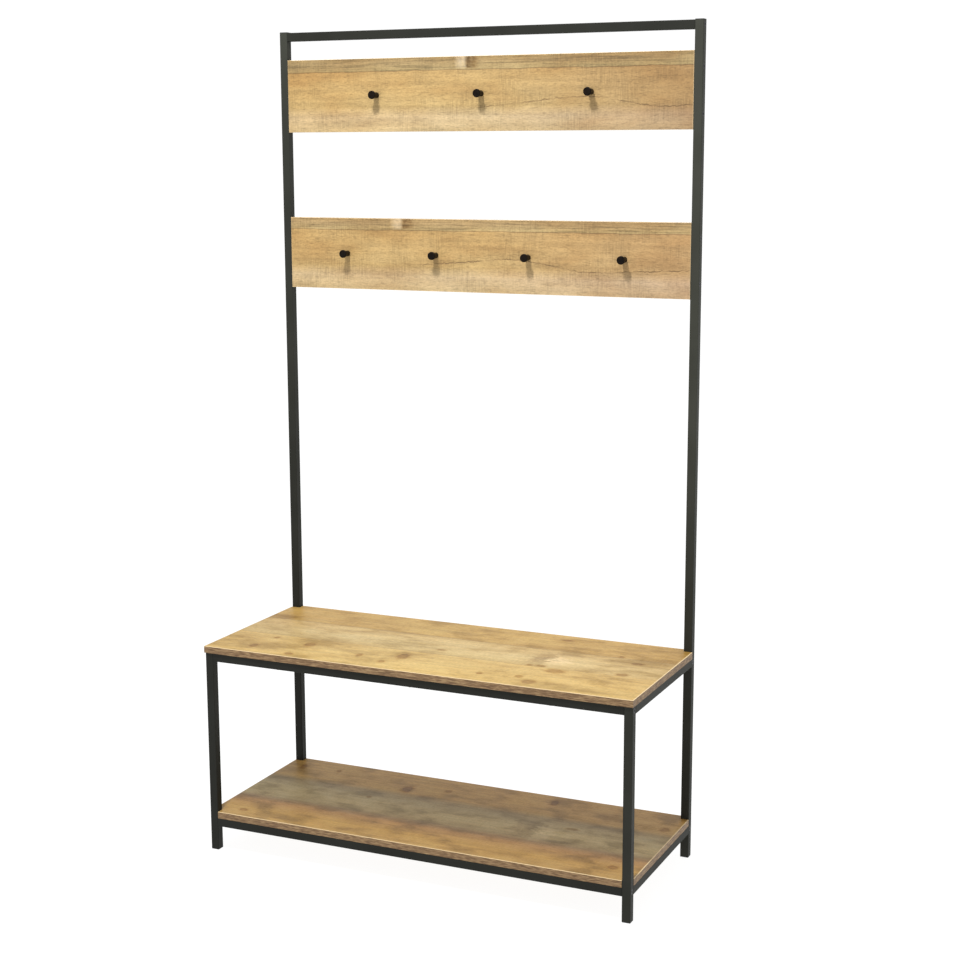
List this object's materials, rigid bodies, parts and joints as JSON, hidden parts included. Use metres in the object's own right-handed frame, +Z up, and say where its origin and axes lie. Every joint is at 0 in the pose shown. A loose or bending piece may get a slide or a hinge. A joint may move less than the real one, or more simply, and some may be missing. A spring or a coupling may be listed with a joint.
{
  "type": "entryway bench",
  "caption": "Entryway bench with a board seat, low shoe shelf and tall rear posts that carry a top rail and hook boards with coat pegs, on a bolted square steel tube frame.",
  "frame": {"origin": "on the floor, under the middle of the bench's width and depth", "axes": "+Z up; X along the width, with the sitter's view from the front having +X on the right; -Y towards the front, +Y towards the wall"},
  "size_m": [1.003, 0.403, 1.8115],
  "materials": {
    "powder_coated_steel": "semi-matt charcoal powder coat",
    "laminate_board": "satin wood-grain laminate on particle board",
    "black_plastic": "moulded black plastic",
    "peg_enamel": "black-brown enamel",
    "blackened_bolts": "black-finished steel",
    "zinc_plated_steel": "zinc plated"
  },
  "bodies": {
    "root": {"front_left_foot": "black_plastic", "front_left_leg": "powder_coated_steel", "front_right_foot": "black_plastic", "front_right_leg": "powder_coated_steel", "hook_board_bolts": "blackened_bolts", "hook_board_inserts": "zinc_plated_steel", "left_post_cap": "black_plastic", "left_post_sleeve": "zinc_plated_steel", "left_seat_side_rail": "powder_coated_steel", "left_shelf_side_rail": "powder_coated_steel", "lower_hook_board": "laminate_board", "lower_peg_1": "peg_enamel", "lower_peg_2": "peg_enamel", "lower_peg_3": "peg_enamel", "lower_peg_4": "peg_enamel", "peg_screws": "zinc_plated_steel", "rear_left_foot": "black_plastic", "rear_left_lower_post": "powder_coated_steel", "rear_left_upper_post": "powder_coated_steel", "rear_right_foot": "black_plastic", "rear_right_lower_post": "powder_coated_steel", "rear_right_upper_post": "powder_coated_steel", "right_post_cap": "black_plastic", "right_post_sleeve": "zinc_plated_steel", "right_seat_side_rail": "powder_coated_steel", "right_shelf_side_rail": "powder_coated_steel", "seat_board": "laminate_board", "seat_board_screws": "zinc_plated_steel", "seat_front_rail": "powder_coated_steel", "seat_rail_bolts": "blackened_bolts", "seat_rail_nuts": "zinc_plated_steel", "seat_rear_rail": "powder_coated_steel", "shelf_board": "laminate_board", "shelf_board_screws": "zinc_plated_steel", "shelf_front_rail": "powder_coated_steel", "shelf_rail_bolts": "blackened_bolts", "shelf_rail_nuts": "zinc_plated_steel", "shelf_rear_rail": "powder_coated_steel", "top_rail": "powder_coated_steel", "top_rail_bolts": "blackened_bolts", "top_rail_nuts": "zinc_plated_steel", "upper_hook_board": "laminate_board", "upper_peg_1": "peg_enamel", "upper_peg_2": "peg_enamel", "upper_peg_3": "peg_enamel"}
  },
  "joints": []
}
